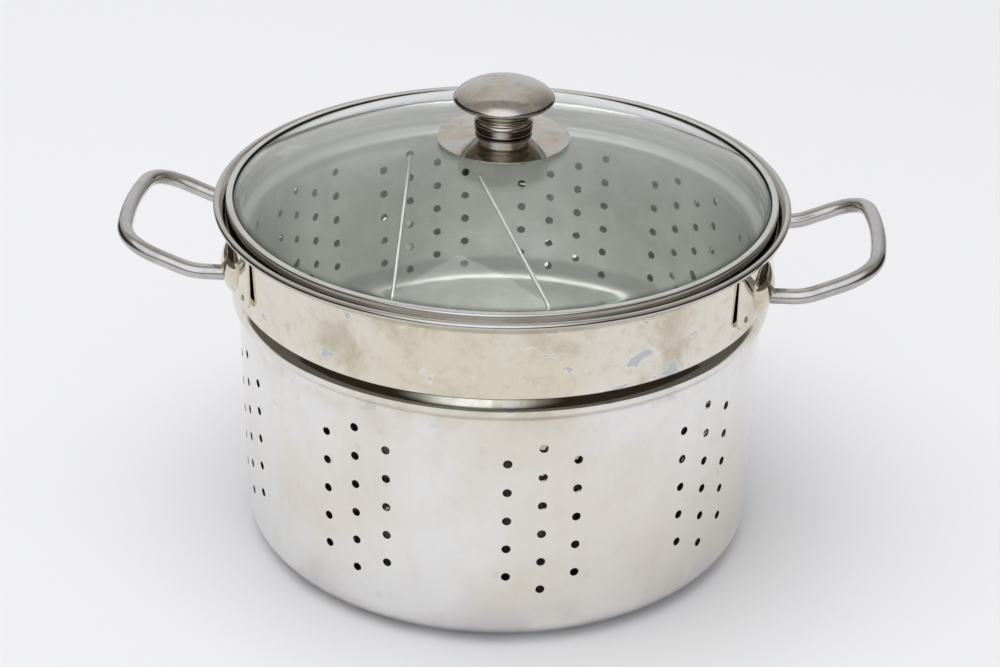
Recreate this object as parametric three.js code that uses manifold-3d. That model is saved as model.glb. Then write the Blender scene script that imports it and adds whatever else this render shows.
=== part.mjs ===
// Perforated canning and pasta insert with a nested steaming basket, a domed glass lid and two
// rod handles. Millimetres, +Z up, origin at the centre of the base, handles along X.
import * as THREE from 'three';
import { mergeGeometries, mergeVertices } from 'three/addons/utils/BufferGeometryUtils.js';
import Module from 'manifold-3d';

const wasm = await Module();
wasm.setup();

// ---- driving dimensions ----
const SHEET = 1.0;                    // outer basket sheet
const RIM_R = 130;                    // outside of the rolled rim
const RIM_Z = 165;                    // top of the rolled rim
const ROLL_R = 1.65;                  // radius of the rolled edge
const BASE_CORNER_R = 15;
const WALL_FOOT_R = 119;              // wall just above the rounded base edge
const WALL_TOP_R = 120.3;             // wall just below the shoulder bead
const WALL_TOP_Z = 115.2;
const BEAD_R = 123.3;                 // widest point of the shoulder bead
const BAND_Z0 = 126;                  // plain band above the bead
const BAND_Z1 = 156.5;
const BAND_R0 = 121.4;
const BAND_R1 = 122.2;

const OUTER_GROUPS = 9;               // groups of three staggered hole columns
const OUTER_FACETS = 45;
const OUTER_GROUP_TURN = 12.5;        // degrees from -Y towards +X to a group's middle column
const OUTER_COLUMN_STEP = 7.27;
const OUTER_ROW_STEP = 14.25;
const OUTER_TOP_ROW_Z = 101;
const HOLE_R = 2.0;

const INNER_SHEET = 0.8;
const INNER_WALL_R = 114.8;           // outside of the nested basket's wall
const INNER_BASE_Z = 65.7;
const INNER_CORNER_R = 6;
const INNER_STEP_Z = 149;             // the wall steps out here to the seat
const INNER_COLLAR_R = 119.3;
const INNER_GROUPS = 10;              // groups of four hole columns, then one left out
const INNER_FACETS = 50;
const INNER_GROUP_TURN = 23.5;
const INNER_COLUMN_STEP = 7.2;
const INNER_ROW_STEP = 12.74;
const INNER_TOP_ROW_Z = 137.5;

const FLOOR_RING_STEP = 23.5;         // spacing of the floor's rings of drain holes
const FLOOR_RINGS = 3;

const HANDLE_ROD_R = 3.5;
const LEG_Y = 39.1;                   // half the spacing of a handle's legs
const LEG_Z = 138.2;
const LEG_START_X = 118.6;
const LEG_BEND_X = 135.8;             // the legs run level to here, then rise
const HANDLE_REACH_X = 169.4;
const HANDLE_RISE = 0.43;             // rise per millimetre of reach beyond the bend
const HANDLE_CORNER_R = 14.8;
const HANDLE_BOW = 4;                 // the crossbar's middle stands out this far beyond its ends

const BRACKET_HALF_ANGLE = 30.5;
const BRACKET_Z0 = 131.5;
const BRACKET_Z1 = 156;
const BRACKET_R = 122.65;             // inside of the curved plate
const BRACKET_T = 1.4;
const BRACKET_CORNER_R = 4;
const BOSS = { radial: 6, across: 10.5, high: 13, z: 142 };
const LEG_FIT = 0.35;                 // clearance round a leg in its boss
const SPOT_ANGLE = 27.6;              // spot welds, measured from the handle's axis
const SPOT_Z = 135.2;

const LID_FACETS = 40;
const DOME_TOP_Z = 192.5;
const DOME_R = 289.2;                 // sphere of the glass's upper face
const GLASS_T = 3.2;
const GLASS_EDGE_R = 123.1;
const GLASS_HOLE_R = 4.2;
const KNOB_FACETS = 20;
const KNOB_CAP_R = 22.9;
const SCREW_R = 2.2;

const LOOSE_ROD_R = 1.0;
const LEFT_ROD = [[-50.2, -98.2, 68.2], [-51.5, 99.2, 137.6]];
const RIGHT_ROD = [[68.0, -87.0, 68.2], [-17.7, 110.3, 122.6]];

const rad = THREE.MathUtils.degToRad;

// ---- materials ----
const finish = (color, roughness, metalness) => new THREE.MeshStandardMaterial({ color, roughness, metalness });
const stainedSteel = finish(0xcfcabd, 0.32, 1);
const innerSteel = finish(0xb4b6b2, 0.38, 1);
const polishedSteel = finish(0xc9c8c6, 0.16, 1);
const handleSteel = finish(0xc4c3c0, 0.24, 1);
const knobSteel = finish(0xa39a90, 0.3, 1);
const rodSteel = finish(0xd2d3d0, 0.25, 1);
const screwSteel = finish(0xb9b9b6, 0.35, 1);
const silicone = finish(0xc7cac6, 0.6, 0);
const lidGlass = new THREE.MeshStandardMaterial({
  color: 0xa9bdb2, roughness: 0.04, metalness: 0, transparent: true, opacity: 0.35,
});

// ---- geometry helpers ----

// Keeps positions only, merges shared corners and drops the slivers left at a pole.
function weld(geometry) {
  const plain = geometry.index ? geometry.toNonIndexed() : geometry.clone();
  plain.deleteAttribute('normal');
  plain.deleteAttribute('uv');
  const merged = mergeVertices(plain, 1e-4);
  const kept = [];
  const index = merged.index.array;
  for (let i = 0; i < index.length; i += 3) {
    const [a, b, c] = [index[i], index[i + 1], index[i + 2]];
    if (a !== b && b !== c && c !== a) kept.push(a, b, c);
  }
  merged.setIndex(kept);
  return merged;
}

function toSolid(geometry) {
  const welded = weld(geometry);
  const vertProperties = new Float32Array(welded.attributes.position.array);
  const triVerts = new Uint32Array(welded.index.array);
  return new wasm.Manifold(new wasm.Mesh({ numProp: 3, vertProperties, triVerts }));
}

function toGeometry(solid) {
  const mesh = solid.getMesh();
  const geometry = new THREE.BufferGeometry();
  geometry.setAttribute('position', new THREE.BufferAttribute(new Float32Array(mesh.vertProperties), 3));
  geometry.setIndex(new THREE.BufferAttribute(new Uint32Array(mesh.triVerts), 1));
  return geometry;
}

// Revolves an [r, z] outline about Z. The outline runs up its outer side and down its inner side.
function revolve(outline, facets, turn = 0) {
  const points = outline.map(([r, z]) => new THREE.Vector2(r, z));
  const lathe = new THREE.LatheGeometry(points, facets, rad(turn), Math.PI * 2);
  return weld(lathe.rotateX(Math.PI / 2));
}

const closed = (outline) => [...outline, outline[0]];

// Points on an arc in the [r, z] plane, angles in degrees.
function arc(r, z, radius, from, to, steps) {
  return Array.from({ length: steps + 1 }, (_, i) => {
    const a = rad(from + ((to - from) * i) / steps);
    return [r + radius * Math.cos(a), z + radius * Math.sin(a)];
  });
}

// A prism that points outwards along the radius at a turn from -Y, for cutting a wall hole.
function wallCutter(radius, turn, z, sides) {
  const cutter = new THREE.CylinderGeometry(HOLE_R * 1.15, HOLE_R * 1.15, 12, sides);
  cutter.translate(0, -radius, 0);
  return cutter.rotateZ(rad(turn)).translate(0, 0, z);
}

function floorCutters(z) {
  const cutters = [];
  for (let ring = 0; ring <= FLOOR_RINGS; ring += 1) {
    const count = ring === 0 ? 1 : ring * 6;
    for (let i = 0; i < count; i += 1) {
      const a = (i / count) * Math.PI * 2;
      const cutter = new THREE.CylinderGeometry(HOLE_R * 1.15, HOLE_R * 1.15, 8, 4).rotateX(Math.PI / 2);
      const reach = ring * FLOOR_RING_STEP;
      cutters.push(cutter.translate(reach * Math.cos(a), reach * Math.sin(a), z));
    }
  }
  return cutters;
}

const cut = (geometry, cutters) => toGeometry(toSolid(geometry).subtract(toSolid(mergeGeometries(cutters))));

const group = new THREE.Group();

function place(name, geometry, material, parent = group) {
  const mesh = new THREE.Mesh(geometry, material);
  mesh.name = name;
  parent.add(mesh);
  return mesh;
}

// ---- outer basket ----

function outerOutline() {
  const rollR = RIM_R - ROLL_R;
  const rollZ = RIM_Z - ROLL_R;
  const cornerR = WALL_FOOT_R - BASE_CORNER_R;
  return [
    [0, 0],
    ...arc(cornerR, BASE_CORNER_R, BASE_CORNER_R, -90, 0, 4),
    [WALL_TOP_R, WALL_TOP_Z],
    [BEAD_R - 0.7, WALL_TOP_Z + 2.2],
    [BEAD_R, WALL_TOP_Z + 4.2],
    [BEAD_R - 0.6, WALL_TOP_Z + 7.2],
    [BAND_R0, BAND_Z0],
    [BAND_R1, BAND_Z1],
    [BAND_R1 + 2.4, BAND_Z1 + 3.6],
    ...arc(rollR, rollZ, ROLL_R, -130, 140, 6),
    [BAND_R1 + 1.7, BAND_Z1 + 4.4],
    [BAND_R1 - SHEET, BAND_Z1 + 0.2],
    [BAND_R0 - SHEET, BAND_Z0],
    [BEAD_R - SHEET, WALL_TOP_Z + 4.2],
    [WALL_TOP_R - SHEET, WALL_TOP_Z + 0.8],
    ...arc(cornerR, BASE_CORNER_R, BASE_CORNER_R - SHEET, 0, -90, 4),
    [0, SHEET],
  ];
}

function outerHoles() {
  const cutters = floorCutters(SHEET / 2);
  for (let g = 0; g < OUTER_GROUPS; g += 1) {
    for (const column of [-1, 0, 1]) {
      const turn = OUTER_GROUP_TURN + (g * 360) / OUTER_GROUPS + column * OUTER_COLUMN_STEP;
      const rows = column === 0 ? 6 : 5;
      const top = OUTER_TOP_ROW_Z - (column === 0 ? 0 : OUTER_ROW_STEP / 2);
      for (let row = 0; row < rows; row += 1) {
        cutters.push(wallCutter(WALL_FOOT_R, turn, top - row * OUTER_ROW_STEP, 4));
      }
    }
  }
  return cutters;
}

function outerShell() {
  const blank = revolve(outerOutline(), OUTER_FACETS, OUTER_GROUP_TURN + 180 / OUTER_FACETS);
  place('outer_basket_shell', cut(blank, outerHoles()), stainedSteel);
}

// ---- nested basket ----

function innerOutline() {
  const wallIn = INNER_WALL_R - INNER_SHEET;
  const collarIn = INNER_COLLAR_R - INNER_SHEET;
  const cornerR = INNER_WALL_R - INNER_CORNER_R;
  const cornerZ = INNER_BASE_Z + INNER_CORNER_R;
  return [
    [0, INNER_BASE_Z],
    ...arc(cornerR, cornerZ, INNER_CORNER_R, -90, 0, 2),
    [INNER_WALL_R, INNER_STEP_Z - 2.5],
    [INNER_COLLAR_R, INNER_STEP_Z],
    [INNER_COLLAR_R, 156.8],
    [120.4, 158.9],
    [122.5, 161.1],
    [121.9, 161.6],
    [119.6, 159.3],
    [collarIn, 157],
    [collarIn, INNER_STEP_Z + 0.6],
    [wallIn, INNER_STEP_Z - 1.9],
    ...arc(cornerR, cornerZ, INNER_CORNER_R - INNER_SHEET, 0, -90, 2),
    [0, INNER_BASE_Z + INNER_SHEET],
  ];
}

function innerHoles() {
  const cutters = floorCutters(INNER_BASE_Z + INNER_SHEET / 2);
  for (let g = 0; g < INNER_GROUPS; g += 1) {
    for (let column = 0; column < 4; column += 1) {
      const turn = INNER_GROUP_TURN + (g * 360) / INNER_GROUPS + (column - 1.5) * INNER_COLUMN_STEP;
      const long = column % 2 === 0;
      const rows = long ? 6 : 5;
      const top = INNER_TOP_ROW_Z - (long ? 0 : INNER_ROW_STEP / 2);
      for (let row = 0; row < rows; row += 1) {
        cutters.push(wallCutter(INNER_WALL_R, turn, top - row * INNER_ROW_STEP, 3));
      }
    }
  }
  return cutters;
}

function innerShell() {
  const blank = revolve(innerOutline(), INNER_FACETS, INNER_GROUP_TURN);
  place('inner_basket_shell', cut(blank, innerHoles()), innerSteel);
}

// A straight rod between two points.
function straightRod(name, [from, to]) {
  const start = new THREE.Vector3(...from);
  const end = new THREE.Vector3(...to);
  const along = end.clone().sub(start);
  const rod = new THREE.CylinderGeometry(LOOSE_ROD_R, LOOSE_ROD_R, along.length(), 6);
  const mesh = place(name, weld(rod), rodSteel);
  mesh.position.copy(start).addScaledVector(along, 0.5);
  mesh.quaternion.setFromUnitVectors(new THREE.Vector3(0, 1, 0), along.normalize());
}

// ---- handles, built for the +X side and turned for the -X side ----

// Height of the rod's centre at a reach beyond the bend.
const handleZ = (x) => LEG_Z + (x - LEG_BEND_X) * HANDLE_RISE;

class HandleCurve extends THREE.CurvePath {
  constructor() {
    super();
    const at = (x, y) => new THREE.Vector3(x, y, x > LEG_BEND_X ? handleZ(x) : LEG_Z);
    const flip = (v) => new THREE.Vector3(v.x, -v.y, v.z);
    const endX = HANDLE_REACH_X - HANDLE_BOW;
    const barY = LEG_Y - HANDLE_CORNER_R;
    const start = at(LEG_START_X, -LEG_Y);
    const level = at(LEG_BEND_X - 6, -LEG_Y);
    const bend = at(LEG_BEND_X, -LEG_Y);
    const rising = at(LEG_BEND_X + 6, -LEG_Y);
    const legEnd = at(endX - HANDLE_CORNER_R, -LEG_Y);
    const corner = at(endX, -LEG_Y);
    const barStart = at(HANDLE_REACH_X - HANDLE_BOW * (barY / LEG_Y) ** 2, -barY);
    const middle = at(2 * HANDLE_REACH_X - barStart.x, 0);
    this.add(new THREE.LineCurve3(start, level));
    this.add(new THREE.QuadraticBezierCurve3(level, bend, rising));
    this.add(new THREE.LineCurve3(rising, legEnd));
    this.add(new THREE.QuadraticBezierCurve3(legEnd, corner, barStart));
    this.add(new THREE.QuadraticBezierCurve3(barStart, middle, flip(barStart)));
    this.add(new THREE.QuadraticBezierCurve3(flip(barStart), flip(corner), flip(legEnd)));
    this.add(new THREE.LineCurve3(flip(legEnd), flip(rising)));
    this.add(new THREE.QuadraticBezierCurve3(flip(rising), flip(bend), flip(level)));
    this.add(new THREE.LineCurve3(flip(level), flip(start)));
  }
}

function handleRod() {
  const section = new THREE.Shape();
  for (let i = 0; i < 8; i += 1) {
    const a = (i / 8) * Math.PI * 2;
    const [x, y] = [HANDLE_ROD_R * Math.cos(a), HANDLE_ROD_R * Math.sin(a)];
    if (i === 0) section.moveTo(x, y);
    else section.lineTo(x, y);
  }
  const extrude = { steps: 36, extrudePath: new HandleCurve(), bevelEnabled: false };
  return weld(new THREE.ExtrudeGeometry(section, extrude));
}

// A curved plate centred on +X with its lower corners rounded: a ring cut by the plate's outline.
function bracketPlate() {
  const halfWide = BRACKET_R * Math.sin(rad(BRACKET_HALF_ANGLE));
  const corner = BRACKET_CORNER_R;
  const face = new THREE.Shape();
  face.moveTo(-halfWide, BRACKET_Z1);
  face.lineTo(-halfWide, BRACKET_Z0 + corner);
  face.quadraticCurveTo(-halfWide, BRACKET_Z0, corner - halfWide, BRACKET_Z0);
  face.lineTo(halfWide - corner, BRACKET_Z0);
  face.quadraticCurveTo(halfWide, BRACKET_Z0, halfWide, BRACKET_Z0 + corner);
  face.lineTo(halfWide, BRACKET_Z1);
  const depth = BRACKET_R + 2 * BRACKET_T;
  const outline = new THREE.ExtrudeGeometry(face, { depth, bevelEnabled: false, curveSegments: 3 });
  outline.rotateX(Math.PI / 2).rotateZ(Math.PI / 2);
  const [r0, r1] = [BRACKET_R, BRACKET_R + BRACKET_T];
  const [z0, z1] = [BRACKET_Z0 - BRACKET_CORNER_R, BRACKET_Z1 + BRACKET_CORNER_R];
  const ring = revolve(closed([[r0, z0], [r1, z0], [r1, z1], [r0, z1]]), 72);
  return toSolid(ring).intersect(toSolid(outline));
}

// The plate with a domed boss round each leg, hollowed for the band and the leg.
function bracket() {
  let solid = bracketPlate();
  const legTurn = Math.asin(LEG_Y / BRACKET_R);
  const reach = 4 * BOSS.high;
  const bandCore = new THREE.CylinderGeometry(BRACKET_R, BRACKET_R, reach, 90).rotateX(Math.PI / 2);
  const core = toSolid(bandCore.translate(0, 0, BOSS.z));
  for (const side of [-1, 1]) {
    const boss = new THREE.SphereGeometry(1, 10, 6).rotateX(Math.PI / 2);
    boss.scale(BOSS.radial, BOSS.across, BOSS.high);
    boss.translate(BRACKET_R, 0, BOSS.z).rotateZ(side * legTurn);
    const clip = new THREE.BoxGeometry(reach, reach, BRACKET_Z1 - BRACKET_Z0);
    clip.translate(BRACKET_R * Math.cos(legTurn), side * LEG_Y, (BRACKET_Z0 + BRACKET_Z1) / 2);
    const bore = new THREE.CylinderGeometry(HANDLE_ROD_R + LEG_FIT, HANDLE_ROD_R + LEG_FIT, reach, 12);
    bore.rotateZ(Math.PI / 2).translate(LEG_START_X - LEG_FIT + reach / 2, side * LEG_Y, LEG_Z);
    const dome = toSolid(boss).intersect(toSolid(clip)).subtract(core);
    solid = solid.add(dome).subtract(toSolid(bore));
  }
  return toGeometry(solid);
}

function spotWeld(turn) {
  const nugget = new THREE.CylinderGeometry(0.7, 1.3, 0.5, 8).rotateZ(-Math.PI / 2);
  return weld(nugget.translate(BRACKET_R + BRACKET_T + 0.5, 0, SPOT_Z).rotateZ(rad(turn)));
}

function handles() {
  for (const [name, turn] of [['right', 0], ['left', Math.PI]]) {
    const side = new THREE.Group();
    side.rotation.z = turn;
    group.add(side);
    place(`${name}_handle_rod`, handleRod(), handleSteel, side);
    place(`${name}_handle_bracket`, bracket(), stainedSteel, side);
    const [minus, plus] = turn === 0 ? ['front', 'back'] : ['back', 'front'];
    place(`${name}_${minus}_spot_weld`, spotWeld(-SPOT_ANGLE), knobSteel, side);
    place(`${name}_${plus}_spot_weld`, spotWeld(SPOT_ANGLE), knobSteel, side);
  }
}

// ---- lid ----

const domeZ = (r, depth = 0) => DOME_TOP_Z - DOME_R + Math.sqrt((DOME_R - depth) ** 2 - r * r);

function lidGlassOutline() {
  const radii = [0.16, 0.38, 0.6, 0.8, 0.94].map((f) => f * 120.5);
  return closed([
    [GLASS_HOLE_R, domeZ(GLASS_HOLE_R, GLASS_T)],
    ...radii.map((r) => [r, domeZ(r, GLASS_T)]),
    [118.8, 163.4],
    [GLASS_EDGE_R, 163.4],
    [GLASS_EDGE_R, 165.8],
    [121, 165.8],
    ...radii.toReversed().map((r) => [r, domeZ(r)]),
    [GLASS_HOLE_R, domeZ(GLASS_HOLE_R)],
  ]);
}

// A channel crimped round the glass edge, with a skirt that locates the lid in the mouth.
const LID_BAND_OUTLINE = closed([
  [116.9, 155], [117.6, 155], [117.6, 159.4], [118.5, 161.2], [119.7, 162.2], [123.6, 162.2],
  [124.2, 162.8], [124.2, 166.2], [123.6, 166.8], [121.3, 166.8], [121.1, 166.2], [123.4, 166.1],
  [123.5, 163], [119.4, 162.9], [118, 161.8], [116.9, 159.6],
]);

function lid() {
  place('lid_glass', revolve(lidGlassOutline(), LID_FACETS), lidGlass);
  place('lid_rim_band', revolve(LID_BAND_OUTLINE, LID_FACETS), polishedSteel);
}

// ---- knob, its disc and its fixing through the glass ----

const DISC_OUTLINE = closed([
  [4, 194.3], [13.5, 194.3], [16, 193.6], [29.6, 191.75], [29.8, 192.3], [16.6, 194.4], [13.8, 195.1], [4, 195.1],
]);
const UPPER_GASKET_OUTLINE = closed([[4.4, 192.9], [12.5, 192.9], [12.5, 194], [4.4, 194]]);
const BUSH_OUTLINE = closed([[2.6, 189], [3.85, 189], [3.85, 194], [2.6, 194]]);
const LOWER_GASKET_OUTLINE = closed([[2.7, 187.5], [8.5, 187.5], [8.5, 188.7], [2.7, 188.7]]);
const WASHER_OUTLINE = closed([[2.6, 186.4], [9.5, 186.4], [9.5, 187.2], [2.6, 187.2]]);
const SCREW_OUTLINE = [[0, 183.6], [4, 183.6], [4.6, 184.4], [4.6, 186.1], [SCREW_R, 186.1], [SCREW_R, 212], [0, 212]];
const NECK_OUTLINE = closed([
  [2.6, 195.4], [12.4, 195.4], [13, 196.2], [13.2, 198], [13.4, 199.6], [13.1, 200.8], [12.2, 201.8],
  [12.1, 203], [12.9, 204.2], [14.2, 205.2], [14.4, 206], [2.6, 206],
]);

function capOutline() {
  const edge = [
    [-4.3, 207.5], [-1.1, 209.3], [0, 210.6], [-0.4, 211.8], [-2.3, 213.9], [-5.9, 216.2], [-10.5, 218], [-15.9, 219.1],
  ];
  return [
    [0, 212.6], [2.6, 212.6], [2.6, 206.3], [14.6, 206.3],
    ...edge.map(([inset, z]) => [KNOB_CAP_R + inset, z]),
    [0, 219.4],
  ];
}

function knob() {
  place('knob_disc', revolve(DISC_OUTLINE, 32), knobSteel);
  place('knob_upper_gasket', revolve(UPPER_GASKET_OUTLINE, 16), silicone);
  place('knob_screw_bush', revolve(BUSH_OUTLINE, 12), silicone);
  place('knob_lower_gasket', revolve(LOWER_GASKET_OUTLINE, 16), silicone);
  place('knob_washer', revolve(WASHER_OUTLINE, 16), screwSteel);
  place('knob_screw', revolve(SCREW_OUTLINE, 12), screwSteel);
  place('knob_neck', revolve(NECK_OUTLINE, KNOB_FACETS), knobSteel);
  place('knob_cap', revolve(capOutline(), KNOB_FACETS), knobSteel);
}

outerShell();
innerShell();
straightRod('left_loose_rod', LEFT_ROD);
straightRod('right_loose_rod', RIGHT_ROD);
handles();
lid();
knob();

export default group;
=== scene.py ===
import math

import bpy
import numpy as np
from mathutils import Matrix, Vector


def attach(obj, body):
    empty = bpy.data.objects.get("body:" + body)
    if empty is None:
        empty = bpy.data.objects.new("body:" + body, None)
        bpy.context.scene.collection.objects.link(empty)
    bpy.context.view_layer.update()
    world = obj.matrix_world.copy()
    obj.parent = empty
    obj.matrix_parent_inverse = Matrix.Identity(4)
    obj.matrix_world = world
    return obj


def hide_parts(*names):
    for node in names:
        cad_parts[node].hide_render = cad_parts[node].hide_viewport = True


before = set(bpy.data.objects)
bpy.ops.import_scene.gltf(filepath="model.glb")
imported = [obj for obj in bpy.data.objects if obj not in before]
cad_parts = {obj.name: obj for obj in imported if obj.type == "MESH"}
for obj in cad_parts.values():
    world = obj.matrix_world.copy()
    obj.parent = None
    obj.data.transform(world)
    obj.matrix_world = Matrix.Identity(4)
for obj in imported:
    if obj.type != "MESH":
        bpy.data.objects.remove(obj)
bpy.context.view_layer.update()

MM = 0.001
SEGMENTS = 192
HOLE_R = 2.0
HOLE_CUTTER_HALF = 4
FLOOR_RING_STEP = 23.5


# ---- camera ----

CAMERA_TURN = math.radians(3.2)
CAMERA_DOWN = math.radians(27.82)
CAMERA_ROLL = 0.0178
CAMERA_REACH = 0.975
CAMERA_HEIGHT = 0.6073


def make_camera():
    camera = bpy.data.objects.new("camera", bpy.data.cameras.new("camera"))
    bpy.context.scene.collection.objects.link(camera)
    camera.data.sensor_width = 36
    camera.data.lens = 85.24
    place = Vector((math.sin(CAMERA_TURN), -math.cos(CAMERA_TURN), 0)) * CAMERA_REACH
    place.z = CAMERA_HEIGHT
    aim = Matrix.Rotation(CAMERA_TURN, 4, "Z") @ Matrix.Rotation(math.pi / 2 - CAMERA_DOWN, 4, "X")
    camera.matrix_world = Matrix.Translation(place) @ aim @ Matrix.Rotation(CAMERA_ROLL, 4, "Z")
    bpy.context.scene.camera = camera


# ---- outlines: lists of (r, z) or (r, z, corner radius), in millimetres ----

def arc(r, z, radius, start, end, steps):
    """Points on an arc in the (r, z) plane, which rounded() leaves alone. The angles are in degrees."""
    angles = np.radians(np.linspace(start, end, steps + 1))
    return [(r + radius * math.cos(a), z + radius * math.sin(a), 0) for a in angles]


def rounded(outline, corner=0.3, steps=3, closed=True):
    """The outline with each corner replaced by a short curve."""
    points = []
    count = len(outline)
    for i, (r, z, *own) in enumerate(outline):
        radius = own[0] if own else corner
        here = np.array((r, z), float)
        end = not closed and i in (0, count - 1)
        if radius == 0 or end or r < 1e-6:
            points.append(here)
            continue
        before = np.array(outline[i - 1][:2], float) - here
        after = np.array(outline[(i + 1) % count][:2], float) - here
        back = here + before * min(radius / np.linalg.norm(before), 0.48)
        on = here + after * min(radius / np.linalg.norm(after), 0.48)
        for t in np.linspace(0, 1, steps + 1):
            points.append((1 - t) ** 2 * back + 2 * t * (1 - t) * here + t * t * on)
    return np.array(points) * MM


def outline_normals(points):
    """Outward unit normals at an outline's points, each led by its longer neighbouring side."""
    along = np.roll(points, -1, 0) - points
    side = np.stack((along[:, 1], -along[:, 0]), 1)
    normal = side + np.roll(side, 1, 0)
    return normal / np.maximum(np.linalg.norm(normal, axis=1, keepdims=True), 1e-12)


def revolve(name, points, segments=SEGMENTS):
    """A closed mesh: the outline turned about Z."""
    angles = np.linspace(0, 2 * math.pi, segments, endpoint=False)
    verts, rings, faces = [], [], []
    for r, z in points:
        if r < 1e-7:
            rings.append([len(verts)] * segments)
            verts.append((0, 0, z))
        else:
            rings.append(range(len(verts), len(verts) + segments))
            verts.extend((r * math.cos(a), r * math.sin(a), z) for a in angles)
    for lower, upper in zip(rings, rings[1:] + rings[:1]):
        for i in range(segments):
            j = (i + 1) % segments
            face = list(dict.fromkeys((lower[i], lower[j], upper[j], upper[i])))
            if len(face) > 2:
                faces.append(face)
    mesh = bpy.data.meshes.new(name)
    mesh.from_pydata(verts, [], faces)
    mesh.update()
    return mesh


def read_vertices(mesh):
    co = np.empty(len(mesh.vertices) * 3)
    mesh.vertices.foreach_get("co", co)
    return co.reshape(-1, 3)


def shade(mesh, points):
    """Shades a revolved surface by its outline's own normals, and leaves the walls of cut holes flat."""
    mesh.shade_smooth()
    co = read_vertices(mesh)
    reach = np.hypot(co[:, 0], co[:, 1])
    flat = np.stack((reach, co[:, 2]), 1)
    normals = outline_normals(points)
    ends, end_normals = np.roll(points, -1, 0), np.roll(normals, -1, 0)
    best = np.full(len(co), 1e9)
    found = np.zeros((len(co), 2))
    for a, b, na, nb in zip(points, ends, normals, end_normals):
        ab = b - a
        t = np.clip((flat - a) @ ab / max(ab @ ab, 1e-16), 0, 1)
        gap = np.linalg.norm(flat - a - t[:, None] * ab, axis=1)
        near = gap < best
        best[near] = gap[near]
        found[near] = na + t[near, None] * (nb - na)
    found /= np.linalg.norm(found, axis=1, keepdims=True)
    outward = co[:, :2] / np.maximum(reach, 1e-9)[:, None]
    smooth = np.column_stack((outward * found[:, :1], found[:, 1]))
    corner = np.empty(len(mesh.loops), int)
    mesh.loops.foreach_get("vertex_index", corner)
    sizes = np.array([len(p.vertices) for p in mesh.polygons])
    faces = np.array([p.normal for p in mesh.polygons]).repeat(sizes, 0)
    chosen = smooth[corner]
    cut = (chosen * faces).sum(1) < 0.75
    chosen[cut] = faces[cut]
    mesh.normals_split_custom_set(chosen)


def turned(name, outline, corner=0.3, segments=SEGMENTS):
    """A smooth revolved mesh."""
    points = rounded(outline, corner)
    mesh = revolve(name, points, segments)
    shade(mesh, points)
    return mesh


# ---- pieces ----

def show(name, mesh, body, slot, material, *nodes):
    piece = bpy.data.objects.new(name, mesh)
    bpy.context.scene.collection.objects.link(piece)
    mesh.materials.append(material)
    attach(piece, body)
    if nodes:
        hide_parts(*nodes)
    return piece


def prism(radius, half, sides=24):
    """Vertices and faces of a prism along Z through the origin."""
    angles = np.linspace(0, 2 * math.pi, sides, endpoint=False)
    verts = [(radius * math.cos(a), radius * math.sin(a), z) for z in (-half, half) for a in angles]
    faces = [list(range(sides))[::-1], list(range(sides, 2 * sides))]
    faces += [(i, (i + 1) % sides, sides + (i + 1) % sides, sides + i) for i in range(sides)]
    return np.array(verts), faces


def cutter_mesh(places, radius, half):
    """One mesh of a prism at each placing matrix."""
    base, base_faces = prism(radius, half)
    verts, faces = [], []
    for place in places:
        turn = np.array(place.to_3x3())
        start = len(verts)
        verts.extend(base @ turn.T + np.array(place.translation))
        faces.extend([start + i for i in face] for face in base_faces)
    mesh = bpy.data.meshes.new("holes")
    mesh.from_pydata(verts, [], faces)
    return mesh


def wall_place(reach, degrees, z):
    """A placing that points Z out through the wall, at a turn from -Y towards +X."""
    turn = Matrix.Rotation(math.radians(degrees), 4, "Z") @ Matrix.Translation((0, -reach * MM, z * MM))
    return turn @ Matrix.Rotation(math.pi / 2, 4, "X")


def wall_holes(reach, groups, first_turn, columns, column_turn, top, pitch):
    """Placings for groups of columns. A long column has six holes, a short one five, half a pitch lower."""
    places = []
    for group in range(groups):
        for offset, long in columns:
            start = top if long else top - pitch / 2
            turn = first_turn + 360 / groups * group + offset * column_turn
            places += [wall_place(reach, turn, start - pitch * row) for row in range(6 if long else 5)]
    return places


def floor_places(z):
    """The drain holes: one at the centre, and rings of 6, 12 and 18."""
    places = [Matrix.Translation((0, 0, z * MM))]
    for ring in (1, 2, 3):
        for i in range(6 * ring):
            a = i / (6 * ring) * 2 * math.pi
            reach = ring * FLOOR_RING_STEP * MM
            places.append(Matrix.Translation((reach * math.cos(a), reach * math.sin(a), z * MM)))
    return places


def perforated(name, outline, wall, floor):
    """A revolved shell with round holes cut through its wall and floor."""
    points = rounded(outline, 0.5, closed=False)
    blank = bpy.data.objects.new(name, revolve(name, points))
    holes = bpy.data.objects.new("holes", cutter_mesh(wall + floor, HOLE_R * MM, HOLE_CUTTER_HALF * MM))
    for obj in (blank, holes):
        bpy.context.scene.collection.objects.link(obj)
    boolean = blank.modifiers.new("holes", "BOOLEAN")
    boolean.operation = "DIFFERENCE"
    boolean.solver = "MANIFOLD"
    boolean.object = holes
    bpy.context.view_layer.update()
    mesh = bpy.data.meshes.new_from_object(blank.evaluated_get(bpy.context.evaluated_depsgraph_get()))
    mesh.name = name
    mesh.materials.clear()
    for obj in (blank, holes):
        bpy.data.objects.remove(obj)
    shade(mesh, points)
    return mesh


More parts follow.
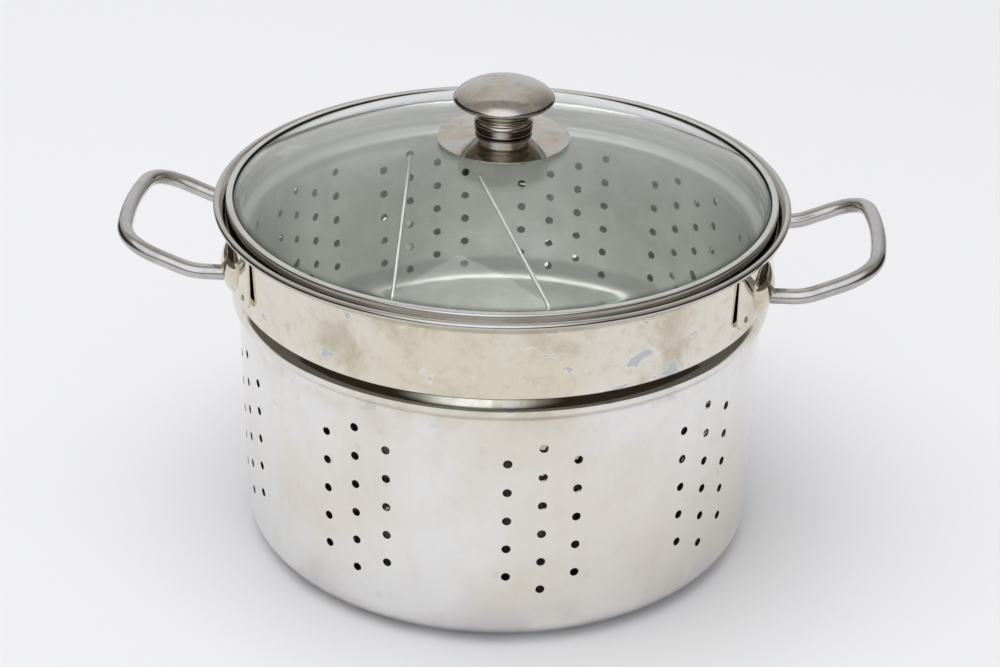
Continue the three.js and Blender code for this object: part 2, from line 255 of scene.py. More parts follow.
def tube(name, path, radius, sides=24):
    """A round bar along a path, with softly rounded ends."""
    path = [Vector(p) for p in path]
    ahead = [(b - a).normalized() for a, b in zip(path, path[1:])]
    tangents = [ahead[0]] + [(a + b).normalized() for a, b in zip(ahead, ahead[1:])] + [ahead[-1]]
    side = tangents[0].orthogonal().normalized()
    stations = []
    for point, tangent in zip(path, tangents):
        side = (side - tangent * side.dot(tangent)).normalized()
        stations.append((point, tangent, side, radius))
    ease = [(0.35 * math.cos(a), math.sin(a)) for a in np.linspace(0.15, math.pi / 2, 5)[:-1]]
    first, last = stations[0], stations[-1]
    start = [(first[0] - first[1] * radius * out, first[1], first[2], radius * r) for out, r in ease]
    finish = [(last[0] + last[1] * radius * out, last[1], last[2], radius * r) for out, r in reversed(ease)]
    verts = []
    for point, tangent, side, reach in start + stations + finish:
        up = tangent.cross(side)
        for i in range(sides):
            a = i / sides * 2 * math.pi
            verts.append(point + (side * math.cos(a) + up * math.sin(a)) * reach)
    rings = len(verts) // sides
    faces = [list(range(sides))[::-1], list(range((rings - 1) * sides, rings * sides))]
    for k in range(rings - 1):
        for i in range(sides):
            j = (i + 1) % sides
            faces.append((k * sides + i, k * sides + j, (k + 1) * sides + j, (k + 1) * sides + i))
    mesh = bpy.data.meshes.new(name)
    mesh.from_pydata(verts, [], faces)
    mesh.update()
    mesh.shade_smooth()
    return mesh


# ---- shader nodes ----

class Nodes:
    """Adds nodes to a material's or the world's tree and links them."""

    def __init__(self, owner):
        owner.use_nodes = True
        self.tree = owner.node_tree
        self.tree.nodes.clear()

    def add(self, kind, inputs=(), out=0, **settings):
        node = self.tree.nodes.new(kind)
        for key, value in settings.items():
            setattr(node, key, value)
        for key, value in dict(inputs).items():
            if isinstance(value, bpy.types.NodeSocket):
                self.tree.links.new(value, node.inputs[key])
            else:
                node.inputs[key].default_value = value
        return node.outputs[out] if out is not None else node

    def math(self, operation, a, b=0.0):
        return self.add("ShaderNodeMath", {0: a, 1: b}, operation=operation)

    def between(self, value, low, high, to=(0.0, 1.0)):
        """Eases from to[0] to to[1] as the value goes from low to high."""
        inputs = {"Value": value, "From Min": low, "From Max": high, "To Min": to[0], "To Max": to[1]}
        return self.add("ShaderNodeMapRange", inputs, interpolation_type="SMOOTHSTEP")

    def object_point(self, stretch=(1, 1, 1)):
        point = self.add("ShaderNodeTexCoord", out="Object")
        if stretch == (1, 1, 1):
            return point
        return self.add("ShaderNodeVectorMath", {0: point, 1: stretch}, operation="MULTIPLY")

    def split(self, vector):
        return self.add("ShaderNodeSeparateXYZ", {0: vector}, out=None).outputs

    def noise(self, point, scale, detail=3.0, roughness=0.5, distortion=0.0):
        inputs = {"Vector": point, "Scale": scale, "Detail": detail, "Roughness": roughness,
                  "Distortion": distortion}
        return self.add("ShaderNodeTexNoise", inputs)

    def mix(self, factor, a, b):
        """Colour a where the factor is 0, and colour b where it is 1."""
        node = self.add("ShaderNodeMix", out=None, data_type="RGBA")
        for socket, value in ((0, factor), (6, a), (7, b)):
            if isinstance(value, bpy.types.NodeSocket):
                self.tree.links.new(value, node.inputs[socket])
            else:
                node.inputs[socket].default_value = value if socket == 0 else (*value, 1)
        return node.outputs[2]

    def bump(self, height, distance, strength=1.0):
        inputs = {"Height": height, "Distance": distance, "Strength": strength}
        return self.add("ShaderNodeBump", inputs)

    def reach(self, x, y):
        """Distance from the Z axis."""
        return self.math("SQRT", self.math("ADD", self.math("MULTIPLY", x, x), self.math("MULTIPLY", y, y)))

    def ray(self, kind):
        """1 for rays of a kind that the Light Path node tells apart, else 0."""
        return self.add("ShaderNodeLightPath", out=f"Is {kind} Ray")

    def surface(self, **inputs):
        """A Principled shader as the material's surface. Underscores stand for spaces."""
        named = {key.replace("_", " "): value for key, value in inputs.items()}
        shader = self.add("ShaderNodeBsdfPrincipled", named)
        self.add("ShaderNodeOutputMaterial", {"Surface": shader}, out=None)
        return shader


def material(name):
    made = bpy.data.materials.new(name)
    return Nodes(made), made


def stained_steel(name):
    """Pressed steel: tan cooking stains and outlined blue-grey limescale on the band, a cleaner wall, and a
    painted shadow under the rolled rim.
    """
    n, made = material(name)
    at = n.object_point()
    z = n.split(at)[2]
    high = n.between(z, 0.108, 0.135)
    broad = n.noise(at, 13, 2.0, 0.45)
    warm = n.math("ADD", n.math("MULTIPLY", high, 0.62), n.between(broad, 0.40, 0.62, (0.0, 0.5)))
    colour = n.mix(warm, (0.82, 0.81, 0.795), (0.73, 0.675, 0.555))

    tan = n.between(n.noise(at, 30, 8.0, 0.68, 0.3), 0.46, 0.66)
    much = n.math("MULTIPLY", tan, n.between(z, 0.10, 0.135, (0.10, 0.72)))
    colour = n.mix(much, colour, (0.50, 0.44, 0.33))
    mottle = n.between(n.noise(at, 170, 6.0, 0.7), 0.50, 0.72)
    mottled = n.math("MULTIPLY", mottle, n.between(z, 0.10, 0.135, (0.08, 0.46)))
    colour = n.mix(mottled, colour, (0.52, 0.45, 0.33))

    scale = n.noise(n.object_point((1, 1, 1.5)), 58, 3.0, 0.5, 0.35)
    lime = n.math("MULTIPLY", n.between(scale, 0.645, 0.66), n.between(z, 0.10, 0.13, (0.0, 0.9)))
    colour = n.mix(lime, colour, (0.52, 0.53, 0.57))
    edge = n.math("MULTIPLY", n.between(scale, 0.625, 0.64), n.between(scale, 0.66, 0.65))
    outline = n.math("MULTIPLY", edge, n.between(z, 0.10, 0.13, (0.0, 0.5)))
    colour = n.mix(outline, colour, (0.85, 0.83, 0.76))

    cells = {"Vector": n.object_point((1, 1, 0.8)), "Scale": 75.0, "Randomness": 1.0}
    spots = n.between(n.add("ShaderNodeTexVoronoi", cells), 0.16, 0.09, (0.0, 0.22))
    colour = n.mix(spots, colour, (0.60, 0.54, 0.42))
    streaks = n.between(n.noise(n.object_point((1, 1, 0.4)), 90, 4.0, 0.6), 0.5, 0.75, (0.0, 0.16))
    colour = n.mix(streaks, colour, (0.60, 0.55, 0.46))

    low = n.between(z, 0.03, 0.004)
    heat = n.math("MULTIPLY", low, n.between(n.noise(at, 30, 3.0), 0.45, 0.6, (0.0, 0.55)))
    colour = n.mix(heat, colour, (0.60, 0.565, 0.60))
    # Painted shadow: a darker ring on the band just under the rolled rim, from z 159.5 to 161.5 mm.
    colour = n.mix(n.between(z, 0.1595, 0.1615, (0.0, 0.75)), colour, (0.50, 0.485, 0.465))

    grain = n.noise(n.object_point((1, 1, 14)), 160, 2.0)
    smear = n.math("MULTIPLY", n.noise(at, 24, 4.0, 0.6), 0.06)
    rough = n.math("ADD", smear, n.math("MULTIPLY", much, 0.12))
    rough = n.math("ADD", n.math("MULTIPLY", grain, 0.03), rough)
    n.surface(Base_Color=colour, Metallic=1.0, Roughness=rough, Normal=n.bump(n.noise(at, 46, 2.0), 0.00004))
    return made


def brushed_steel(name, colour, worn, rough, grain_scale=420.0, rough_and_shaded_heights=()):
    """Steel with fine rings of polishing marks, a broad worn tint, and at some heights rings that are rougher
    and painted darker as shade.
    """
    n, made = material(name)
    at = n.object_point()
    x, y, z = n.split(at)
    rings = n.add("ShaderNodeCombineXYZ", {0: n.reach(x, y), 1: 0.0, 2: z})
    fine = n.noise(rings, grain_scale, 4.0, 0.65)
    broad = n.noise(at, 38, 4.0, 0.6, 0.4)
    tint = n.mix(n.between(broad, 0.38, 0.66), colour, worn)
    tint = n.mix(n.between(fine, 0.35, 0.7, (0.0, 0.18)), tint, tuple(c * 0.8 for c in colour))
    vary = n.math("ADD", n.math("MULTIPLY", fine, 0.1), n.math("MULTIPLY", broad, 0.12))
    for height in rough_and_shaded_heights:
        near = n.between(n.math("ABSOLUTE", n.math("SUBTRACT", z, height)), 0.007, 0.003)
        # Painted shade: at each given height the tint is darkened, and the roughness is raised.
        tint = n.mix(n.math("MULTIPLY", near, 0.55), tint, tuple(c * 0.45 for c in colour))
        vary = n.math("ADD", vary, n.math("MULTIPLY", near, 0.25))
    n.surface(Base_Color=tint, Metallic=1.0, Roughness=n.math("ADD", vary, rough - 0.11),
              Normal=n.bump(fine, 0.000003))
    return made


def polished_steel(name, colour, dull, rough):
    """Bright drawn steel with faint long scratches and patches of wear."""
    n, made = material(name)
    broad = n.noise(n.object_point(), 55, 4.0, 0.6)
    long = n.noise(n.object_point((0.25, 0.25, 3)), 900, 3.0, 0.6)
    tint = n.mix(n.between(broad, 0.42, 0.64), colour, dull)
    vary = n.math("ADD", n.math("MULTIPLY", long, 0.06), n.math("MULTIPLY", n.between(broad, 0.4, 0.7), 0.08))
    n.surface(Base_Color=tint, Metallic=1.0, Roughness=n.math("ADD", vary, rough - 0.04),
              Normal=n.bump(long, 0.0000015))
    return made


def worn_knob_steel(name):
    """Brownish knob steel, with cloudy tarnish and fine scratches in all directions."""
    n, made = material(name)
    at = n.object_point()
    cloud = n.noise(at, 75, 5.0, 0.62, 0.5)
    patch = n.noise(at, 130, 4.0, 0.6, 0.9)
    colour = n.mix(n.between(cloud, 0.36, 0.66), (0.54, 0.53, 0.52), (0.52, 0.455, 0.37))
    colour = n.mix(n.between(patch, 0.52, 0.68, (0.0, 0.6)), colour, (0.36, 0.33, 0.31))
    scratch = n.noise(n.object_point((3, 0.4, 0.4)), 700, 3.0, 0.7)
    crossing = n.noise(n.object_point((0.5, 3, 0.5)), 620, 3.0, 0.7)
    marks = n.math("MULTIPLY", n.math("ADD", scratch, crossing), 0.5)
    rough = n.math("ADD", n.between(cloud, 0.35, 0.7, (0.06, 0.16)), n.math("MULTIPLY", marks, 0.04))
    n.surface(Base_Color=colour, Metallic=1.0, Roughness=rough, Normal=n.bump(marks, 0.000002))
    return made


def lid_glass(name):
    """Clear tempered glass, faintly green, with a deep green edge under the band."""
    n, made = material(name)
    at = n.object_point()
    x, y, z = n.split(at)
    colour = n.mix(n.between(n.reach(x, y), 0.1175, 0.1208), (0.955, 0.973, 0.955), (0.10, 0.20, 0.10))
    film = n.noise(at, 26, 4.0, 0.6)
    shader = n.add("ShaderNodeBsdfPrincipled", {
        "Base Color": colour, "Metallic": 0.0, "Transmission Weight": 1.0, "IOR": 1.5,
        "Roughness": 0.0, "Normal": n.bump(film, 0.00002)})
    clear = n.add("ShaderNodeBsdfTransparent", {"Color": (0.86, 0.90, 0.87, 1)})
    both = n.add("ShaderNodeMixShader", {0: n.ray("Shadow"), 1: shader, 2: clear})
    n.add("ShaderNodeOutputMaterial", {"Surface": both}, out=None)
    return made


def silicone(name):
    """Milky silicone with a dusty bloom."""
    n, made = material(name)
    at = n.object_point()
    bloom = n.noise(at, 260, 4.0, 0.6)
    colour = n.mix(bloom, (0.62, 0.64, 0.60), (0.48, 0.51, 0.46))
    n.surface(Base_Color=colour, Roughness=n.between(bloom, 0.3, 0.7, (0.4, 0.6)),
              Normal=n.bump(bloom, 0.0002, 0.1))
    return made


def floor_material(name):
    """A plain pale floor. For glossy rays its far sides and front are painted dark, a painted reflection of a
    dark room beyond the pale sheet's edges.
    """
    n, made = material(name)
    at = n.object_point()
    faint = n.noise(at, 1.2, 2.0)
    colour = n.mix(faint, (0.90, 0.90, 0.915), (0.885, 0.888, 0.90))
    x, y, z = n.split(at)
    out = n.math("MAXIMUM", n.math("ABSOLUTE", x), n.math("MULTIPLY", y, -1.0))
    # Painted reflection: past 0.58 to 0.72 m at the sides and front, the floor turns dark only in glossy
    # rays.
    painted_dark_reflection = n.math("MULTIPLY", n.between(out, 0.58, 0.72), n.ray("Glossy"))
    colour = n.mix(painted_dark_reflection, colour, (0.10, 0.09, 0.08))
    n.surface(Base_Color=colour, Roughness=n.between(faint, 0.3, 0.7, (0.6, 0.7)),
              Normal=n.bump(n.noise(at, 300, 2.0), 0.0001, 0.1))
    return made


# ---- the outer basket ----

def outer_outline():
    corner_r, roll_r, roll_z = 104, 128.35, 163.35
    return [
        (0, 0),
        *arc(corner_r, 15, 15, -90, 0, 16),
        (120.3, 115.2, 1.0), (122.6, 117.4, 1.4), (123.3, 119.4, 1.4),
        (122.7, 122.4, 2.5), (121.4, 126, 0.4),
        (122.2, 156.5, 1.2), (124.6, 160.1, 0.8),
        *arc(roll_r, roll_z, 1.65, -130, 140, 20),
        (123.9, 160.9, 0.8), (121.2, 156.7, 1.0),
        (120.4, 126, 0.6), (122.3, 119.4, 2.5), (119.3, 116.0, 1.5),
        *arc(corner_r, 15, 14, 0, -90, 16),
        (0, 1),
    ]


def make_outer_basket(steel):
    wall = wall_holes(
        reach=119.6, groups=9, first_turn=12.5,
        columns=((-1, False), (0, True), (1, False)), column_turn=7.27,
        top=101, pitch=14.25)
    mesh = perforated("outer_basket", outer_outline(), wall, floor_places(0.5))
    show("outer_basket", mesh, "outer_basket", "stained_steel", steel, "outer_basket_shell")


# ---- the nested basket ----

def inner_outline():
    return [
        (0, 65.7),
        *arc(108.8, 71.7, 6, -90, 0, 10),
        (114.8, 146.5, 1.5), (119.3, 149, 1.5), (119.3, 156.8, 1.2), (120.4, 158.9),
        (122.5, 161.1, 0.3), (121.9, 161.6, 0.3),
        (119.6, 159.3, 1.0), (118.5, 157, 1.2), (118.5, 149.6, 1.2), (114, 147.1, 1.5),
        *arc(108.8, 71.7, 5.2, 0, -90, 10),
        (0, 66.5),
    ]


def make_inner_basket(steel):
    wall = wall_holes(
        reach=114.4, groups=10, first_turn=23.5,
        columns=((-1.5, True), (-0.5, False), (0.5, True), (1.5, False)), column_turn=7.2,
        top=137.5, pitch=12.74)
    mesh = perforated("inner_basket", inner_outline(), wall, floor_places(66.1))
    show("inner_basket", mesh, "inner_basket", "inner_steel", steel, "inner_basket_shell")


# ---- handles and their brackets, in millimetres ----

BAND_R = 122.65
LEG_START_X = 118.6
LEG_Y = 39.1
LEG_Z = 138.2
LEG_BEND_X = 135.8
LEG_BEND_HALF = 6.0
LEG_ANGLE = math.asin(LEG_Y / BAND_R)
HANDLE_R = 3.5
HANDLE_RISE = 0.43
HANDLE_REACH_X = 169.4
HANDLE_BOW = 4
HANDLE_CORNER_R = 14.8

BRACKET_HALF_WIDE = BAND_R * math.radians(30.5)
BRACKET_LOW = 131.5
BRACKET_HIGH = 156.0
BRACKET_THICK = 1.4
BRACKET_CORNER_R = 4.0
BRACKET_EDGE_R = 0.7
BRACKET_EDGE_DROP = 1.2
BOSS_HIGH = 6
BOSS_Z = 142
BOSS_HALF_WIDE = 10.5
BOSS_HALF_TALL = 13
BRACKET_NEAR_SIDE = 14
EDGE_STEPS = np.array([0.72, 0.48, 0.3, 0.17, 0.08, 0.03, 0.0])

WELD_DEGREES = 27.6
WELD_X = 123.98
WELD_Z = 135.2


def bend(a, corner, b, steps=10):
    """Points of a quadratic curve from a to b."""
    a, corner, b = Vector(a), Vector(corner), Vector(b)
    return [a.lerp(corner, t).lerp(corner.lerp(b, t), t) for t in np.linspace(0, 1, steps).tolist()]


def handle_path():
    """The rod's centre line for the +X side: two legs that rise beyond a bend, and a bowed crossbar."""
    def at(x, y=-LEG_Y):
        return x, y, LEG_Z + max(0.0, x - LEG_BEND_X) * HANDLE_RISE
    corner_x = HANDLE_REACH_X - HANDLE_BOW
    bar_y = LEG_Y - HANDLE_CORNER_R
    bar_x = HANDLE_REACH_X - HANDLE_BOW * (bar_y / LEG_Y) ** 2
    half = [Vector(at(LEG_START_X))]
    half += bend(at(LEG_BEND_X - LEG_BEND_HALF), at(LEG_BEND_X), at(LEG_BEND_X + LEG_BEND_HALF))
    half += bend(at(corner_x - HANDLE_CORNER_R), at(corner_x), at(bar_x, -bar_y), 14)
    half += bend(at(bar_x, -bar_y), at(2 * HANDLE_REACH_X - bar_x, 0), at(bar_x, bar_y), 13)[1:7]
    other = [Vector((p.x, -p.y, p.z)) for p in reversed(half[:-1])]
    return [p * MM for p in half + other]


def bracket_height(across, z):
    """Height of the bracket's face above the band's surface at a place on it."""
    side, foot = BRACKET_HALF_WIDE - abs(across), z - BRACKET_LOW
    edge = min(side, foot)
    if side < BRACKET_CORNER_R and foot < BRACKET_CORNER_R:
        edge = BRACKET_CORNER_R - math.hypot(BRACKET_CORNER_R - side, BRACKET_CORNER_R - foot)
    edge = max(min(edge, BRACKET_HIGH - z + 0.5), 0.0)
    short = max(BRACKET_EDGE_R - edge, 0.0)
    drop = BRACKET_EDGE_R - math.sqrt(BRACKET_EDGE_R**2 - short**2)
    height = BRACKET_THICK - drop * BRACKET_EDGE_DROP
    for centre in (-LEG_ANGLE, LEG_ANGLE):
        wide, tall = (across - centre * BAND_R) / BOSS_HALF_WIDE, (z - BOSS_Z) / BOSS_HALF_TALL
        d = wide**2 + tall**2
        if d < 1:
            height += (BOSS_HIGH - BRACKET_THICK) * (1 - d) ** 0.75
    return height


def spaced(half, fine, count):
    """Values from 0 to half, close together near half."""
    return np.concatenate((np.linspace(0, half - fine, count), half - fine * EDGE_STEPS))


def bracket_vertices(columns, rows, lifted):
    """A grid on the bracket's face, or on its back, drawn in at the rounded lower corners."""
    verts = []
    for z in rows:
        foot = z - BRACKET_LOW
        pinch = 0.0
        if foot < BRACKET_CORNER_R:
            pinch = BRACKET_CORNER_R - math.sqrt(BRACKET_CORNER_R**2 - (BRACKET_CORNER_R - foot) ** 2)
        for s in columns:
            near_side = max(0.0, (abs(s) - BRACKET_HALF_WIDE + BRACKET_NEAR_SIDE) / BRACKET_NEAR_SIDE)
            across = s - math.copysign(pinch * near_side, s)
            reach = BAND_R + (bracket_height(across, z) if lifted else 0.0)
            a = across / BAND_R
            verts.append((reach * math.cos(a) * MM, reach * math.sin(a) * MM, z * MM))
    return verts


def bracket_mesh(name):
    right = spaced(BRACKET_HALF_WIDE, 1.0, 72)
    columns = np.concatenate((-right[:0:-1], right))
    rows = BRACKET_HIGH - spaced(BRACKET_HIGH - BRACKET_LOW, 1.0, 40)
    verts = bracket_vertices(columns, rows, True) + bracket_vertices(columns, rows, False)
    wide, tall = len(columns), len(rows)
    back = wide * tall
    faces = []
    for k in range(tall - 1):
        for i in range(wide - 1):
            a, b = k * wide + i, (k + 1) * wide + i
            faces.append((a, b, b + 1, a + 1))
            faces.append((a + back, a + back + 1, b + back + 1, b + back))
    rim = list(range(wide)) + [k * wide + wide - 1 for k in range(1, tall)]
    rim += [(tall - 1) * wide + i for i in range(wide - 2, -1, -1)]
    rim += [k * wide for k in range(tall - 2, 0, -1)]
    for a, b in zip(rim, rim[1:] + rim[:1]):
        faces.append((a, b, b + back, a + back))
    mesh = bpy.data.meshes.new(name)
    mesh.from_pydata(verts, [], faces)
    mesh.update()
    mesh.shade_smooth()
    mesh.set_sharp_from_angle(angle=math.radians(50))
    return mesh


def weld_dimple(name):
    """A spot weld: a shallow dish with a raised lip, facing +Z."""
    outline = [
        (0, 0), (1.5, 0, 0.1), (1.35, 0.42, 0.2), (1.0, 0.46, 0.2), (0.5, 0.18, 0.3), (0, 0.12),
    ]
    return turned(name, outline, 0.2, 32)


def make_weld(side, where, degrees, steel):
    name = f"{side}_{where}_weld"
    mesh = weld_dimple(name)
    place = Matrix.Rotation(math.radians(degrees), 4, "Z") @ Matrix.Translation((WELD_X * MM, 0, WELD_Z * MM))
    mesh.transform(Matrix.Rotation(math.pi / 2, 4, "Y"))
    mesh.transform(place)
    show(name, mesh, "outer_basket", "weld_steel", steel, f"{side}_{where}_spot_weld")


def make_handles(handle_steel, plate_steel, weld_steel):
    for side, turn in (("right", 0.0), ("left", math.pi)):
        spin = Matrix.Rotation(turn, 4, "Z")
        rod = tube(f"{side}_handle", handle_path(), HANDLE_R * MM, 32)
        rod.transform(spin)
        show(f"{side}_handle", rod, "outer_basket", "handle_steel", handle_steel, f"{side}_handle_rod")
        plate = bracket_mesh(f"{side}_bracket")
        plate.transform(spin)
        show(f"{side}_bracket", plate, "outer_basket", "stained_steel", plate_steel, f"{side}_handle_bracket")
        for where, degrees in (("front", -WELD_DEGREES), ("back", WELD_DEGREES)):
            make_weld(side, where, degrees if side == "right" else 180 - degrees, weld_steel)


# ---- the lid ----

DOME_TOP_Z = 192.5
DOME_R = 289.2
GLASS_THICK = 3.2
GLASS_HOLE_R = 4.2
GLASS_FOOT_Z = 163.4
GLASS_FOOT_TOP = 165.8
GLASS_R = 123.1
GLASS_UNDER_R = 118.8
GLASS_OVER_R = 119.2


def dome_z(r, depth=0.0):
    """Height of the dome's outer surface, or of a surface at a depth inside it."""
    return DOME_TOP_Z - DOME_R + math.sqrt((DOME_R - depth) ** 2 - r * r)


def glass_outline():
    under = np.linspace(GLASS_HOLE_R, GLASS_UNDER_R, 34)[1:-1]
    over = np.linspace(GLASS_HOLE_R, GLASS_OVER_R, 34)[:0:-1]
    return [
        (GLASS_HOLE_R, dome_z(GLASS_HOLE_R, GLASS_THICK), 0.4),
        *[(r, dome_z(r, GLASS_THICK), 0) for r in under],
        (GLASS_UNDER_R, GLASS_FOOT_Z, 0.5), (GLASS_R, GLASS_FOOT_Z, 0.5),
        (GLASS_R, GLASS_FOOT_TOP, 0.5), (121, GLASS_FOOT_TOP, 0.5),
        *[(r, dome_z(r), 0) for r in over],
        (GLASS_HOLE_R, dome_z(GLASS_HOLE_R), 0.4),
    ]


BAND_OUTLINE = [
    (116.9, 155, 0.2), (117.6, 155, 0.2), (117.6, 159.4, 1.0), (118.5, 161.2, 0.8),
    (119.7, 162.2, 0.6), (123.6, 162.2, 0.5), (124.2, 162.8, 0.5),
    (124.2, 166.2, 0.5), (123.6, 166.8, 0.5), (121.3, 166.8, 0.25), (121.1, 166.2, 0.2),
    (123.4, 166.1, 0.2), (123.5, 163, 0.2), (119.4, 162.9, 0.6), (118, 161.8, 0.6), (116.9, 159.6, 0.8),
]
DISC_OUTLINE = [
    (4, 194.3, 0.1), (13.5, 194.3, 1.0), (16, 193.6, 1.2), (29.6, 191.75, 0.1), (29.8, 192.3, 0.25),
    (16.6, 194.4, 1.5), (13.8, 195.1, 1.2), (4, 195.1, 0.1),
]
UPPER_GASKET_OUTLINE = [(4.4, 192.9), (12.5, 192.9), (12.5, 194), (4.4, 194)]
BUSH_OUTLINE = [(2.6, 189), (3.85, 189), (3.85, 194), (2.6, 194)]
LOWER_GASKET_OUTLINE = [(2.7, 187.5), (8.5, 187.5), (8.5, 188.7), (2.7, 188.7)]
WASHER_OUTLINE = [(2.6, 186.4), (9.5, 186.4), (9.5, 187.2), (2.6, 187.2)]
SCREW_OUTLINE = [
    (0, 183.6), (4, 183.6, 0.6), (4.6, 184.4, 0.4), (4.6, 186.1, 0.1),
    (2.2, 186.1, 0.1), (2.2, 212, 0.3), (0, 212),
]
NECK_OUTLINE = [
    (2.6, 195.4), (12.4, 195.4, 0.3), (13, 196.2, 0.4), (13.2, 198, 1.0),
    (13.4, 199.6, 0.8), (13.1, 200.8, 0.6), (12.2, 201.8, 0.5), (12.1, 203, 0.6),
    (12.9, 204.2, 0.6), (14.2, 205.2, 0.6), (14.4, 206, 0.1), (2.6, 206, 0.1),
]
CAP_OUTLINE = [
    (0, 212.6), (2.6, 212.6, 0.1), (2.6, 206.3, 0.1), (14.6, 206.3, 0.3),
    (18.6, 207.5, 2.0), (21.8, 209.3, 1.2), (22.9, 210.6, 0.5), (22.5, 211.8, 0.6),
    (20.6, 213.9, 1.6), (17, 216.2, 2.2), (12.4, 218, 2.8), (7, 219.1, 3.0), (0, 219.4),
]


def make_lid(glass, band, knob, rubber, screw):
    show("lid_dome", turned("lid_dome", glass_outline()), "lid", "lid_glass", glass, "lid_glass")
    show("lid_band", turned("lid_band", BAND_OUTLINE, 0.2), "lid", "polished_steel", band, "lid_rim_band")
    small = (
        ("disc", DISC_OUTLINE, "lid", "knob_steel", knob, "knob_disc", 128),
        ("upper_gasket", UPPER_GASKET_OUTLINE, "lid", "silicone", rubber, "knob_upper_gasket", 96),
        ("bush", BUSH_OUTLINE, "lid", "silicone", rubber, "knob_screw_bush", 48),
        ("lower_gasket", LOWER_GASKET_OUTLINE, "lid", "silicone", rubber, "knob_lower_gasket", 64),
        ("washer", WASHER_OUTLINE, "lid", "screw_steel", screw, "knob_washer", 64),
        ("screw", SCREW_OUTLINE, "lid", "screw_steel", screw, "knob_screw", 48),
        ("neck", NECK_OUTLINE, "knob", "knob_steel", knob, "knob_neck", 96),
        ("cap", CAP_OUTLINE, "knob", "knob_steel", knob, "knob_cap", 128),
    )
    for name, outline, body, slot, finish, node, segments in small:
        show(f"fine_{name}", turned(name, outline, 0.2, segments), body, slot, finish, node)


# ---- loose rods ----

LEFT_ROD = ((-50.2, -98.2, 68.2), (-51.5, 99.2, 137.6))
RIGHT_ROD = ((68.0, -87.0, 68.2), (-17.7, 110.3, 122.6))
LOOSE_ROD_R = 1.0


def make_loose_rods(steel):
    for side, (start, end) in (("left", LEFT_ROD), ("right", RIGHT_ROD)):
        start, end = Vector(start) * MM, Vector(end) * MM
        path = [start.lerp(end, t / 8) for t in range(9)]
        mesh = tube(f"{side}_loose_wire", path, LOOSE_ROD_R * MM, 16)
        show(f"{side}_loose_wire", mesh, f"{side}_rod", "rod_steel", steel, f"{side}_loose_rod")


# ---- stage and light ----

FLOOR_HALF = 8
PALE = (0.80, 0.81, 0.83)

def make_floor():
    corners = [(x * FLOOR_HALF, y * FLOOR_HALF, 0) for x, y in ((-1, -1), (1, -1), (1, 1), (-1, 1))]
    mesh = bpy.data.meshes.new("floor")
    mesh.from_pydata(corners, [], [(0, 1, 2, 3)])
    mesh.materials.append(floor_material("floor"))
    floor = bpy.data.objects.new("floor", mesh)
    bpy.context.scene.collection.objects.link(floor)


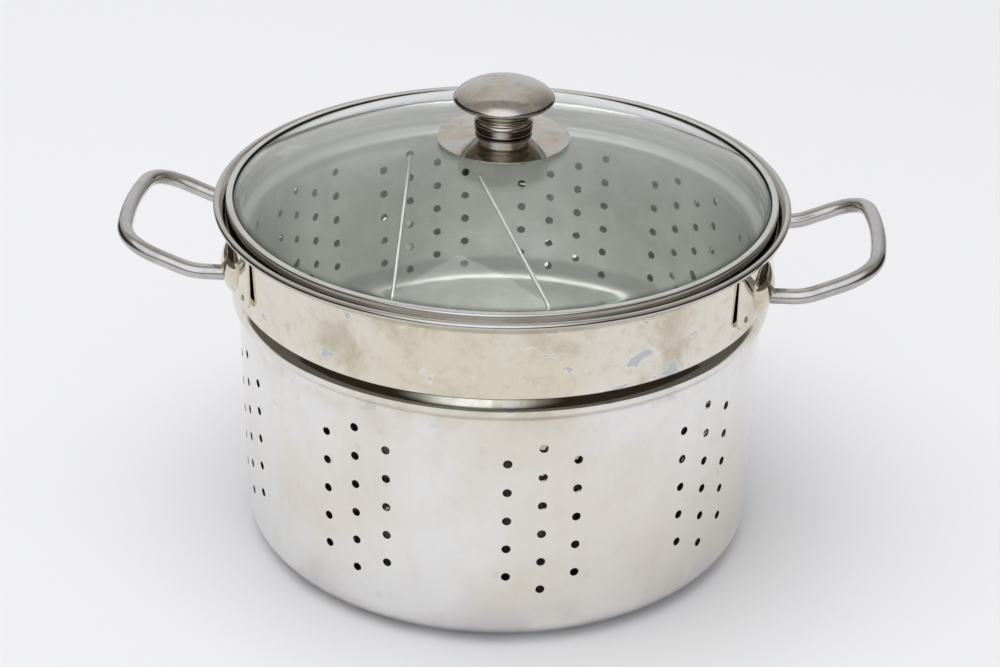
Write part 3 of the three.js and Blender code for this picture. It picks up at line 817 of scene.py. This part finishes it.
def make_world():
    """A white sweep behind and overhead, in a dim brown room with a high diffuser and a tall window in front.

    The camera sees a plain pale backdrop instead, and matt surfaces are lit evenly.
    """
    world = bpy.data.worlds.new("studio")
    bpy.context.scene.world = world
    n = Nodes(world)
    x, y, z = n.split(n.add("ShaderNodeTexCoord", out="Generated"))
    sweep = n.mix(n.between(x, 0.1, 0.8), (0.78, 0.78, 0.78), (0.26, 0.25, 0.24))
    sweep = n.mix(n.between(x, -0.35, -0.9), sweep, (0.36, 0.35, 0.34))
    room = n.mix(n.between(z, 0.25, 0.70), (0.030, 0.024, 0.018), (0.44, 0.42, 0.40))

    direction = n.add("ShaderNodeCombineXYZ", {0: x, 1: y, 2: z})
    diffuser = {0: direction, 1: (-0.08, -0.75, 0.656)}
    toward = n.add("ShaderNodeVectorMath", diffuser, operation="DOT_PRODUCT", out="Value")
    room = n.mix(n.between(toward, 0.70, 0.97, (0.0, 0.9)), room, (1.5, 1.5, 1.5))

    depth = n.math("MAXIMUM", n.math("MULTIPLY", y, -1.0), 0.001)
    across, up = n.math("DIVIDE", x, depth), n.math("DIVIDE", z, depth)
    tall = n.math("MULTIPLY", n.between(up, 0.02, 0.10), n.between(up, 1.5, 0.8))
    pane = n.math("MULTIPLY", n.between(across, -0.55, -0.15), n.between(across, 0.02, -0.01))
    second = n.math("MULTIPLY", n.between(across, -0.02, 0.01), n.between(across, 0.35, 0.15, (0.0, 0.35)))
    window = n.math("MULTIPLY", n.math("ADD", pane, second), tall)
    room = n.mix(window, room, (1.25, 1.36, 1.5))

    sweep_start = n.between(z, 0.15, 0.50, (0.74, 0.26))
    sky = n.mix(n.between(n.math("SUBTRACT", y, sweep_start), 0.05, -0.03), sweep, room)
    mirrored = n.add("ShaderNodeBackground", {"Color": sky, "Strength": 1.0})
    diffuse = n.add("ShaderNodeBackground", {"Color": (0.52, 0.52, 0.53, 1), "Strength": 1.0})
    plain = n.add("ShaderNodeBackground", {"Color": (*PALE, 1), "Strength": 1.0})
    lit = n.add("ShaderNodeMixShader", {0: n.ray("Diffuse"), 1: mirrored, 2: diffuse})
    both = n.add("ShaderNodeMixShader", {0: n.ray("Camera"), 1: lit, 2: plain})
    n.add("ShaderNodeOutputWorld", {"Surface": both}, out=None)


def make_overhead():
    """A large square softbox above, aimed at the origin. Polished metal doesn't mirror it."""
    light = bpy.data.lights.new("overhead", "AREA")
    light.size = 3.0
    light.energy = 66.0
    overhead = bpy.data.objects.new("overhead", light)
    overhead.location = (-0.35, -0.4, 3.3)
    overhead.rotation_euler = (-overhead.location).to_track_quat("-Z", "Y").to_euler()
    overhead.visible_glossy = False
    bpy.context.scene.collection.objects.link(overhead)


# ---- everything ----

make_camera()
make_floor()
make_world()
make_overhead()

STAINED_AND_SHADED = stained_steel("stained_steel")
make_outer_basket(STAINED_AND_SHADED)
# The inner steel gets painted shade rings at its floor corner and at the step under its rim.
make_inner_basket(brushed_steel(
    "inner_steel", (0.80, 0.81, 0.78), (0.68, 0.685, 0.65), 0.33, rough_and_shaded_heights=(0.0725, 0.148)))
make_handles(
    polished_steel("handle_steel", (0.55, 0.535, 0.515), (0.45, 0.435, 0.42), 0.18),
    STAINED_AND_SHADED,
    polished_steel("weld_steel", (0.42, 0.40, 0.38), (0.30, 0.28, 0.26), 0.3),
)
make_lid(
    lid_glass("lid_glass"),
    brushed_steel("band_steel", (0.70, 0.69, 0.67), (0.60, 0.58, 0.55), 0.11, 300.0),
    worn_knob_steel("knob_steel"),
    silicone("silicone"),
    brushed_steel("screw_steel", (0.58, 0.58, 0.57), (0.48, 0.47, 0.45), 0.3),
)
make_loose_rods(polished_steel("rod_steel", (0.90, 0.91, 0.89), (0.78, 0.78, 0.75), 0.30))

bpy.context.scene.view_settings.view_transform = "Standard"
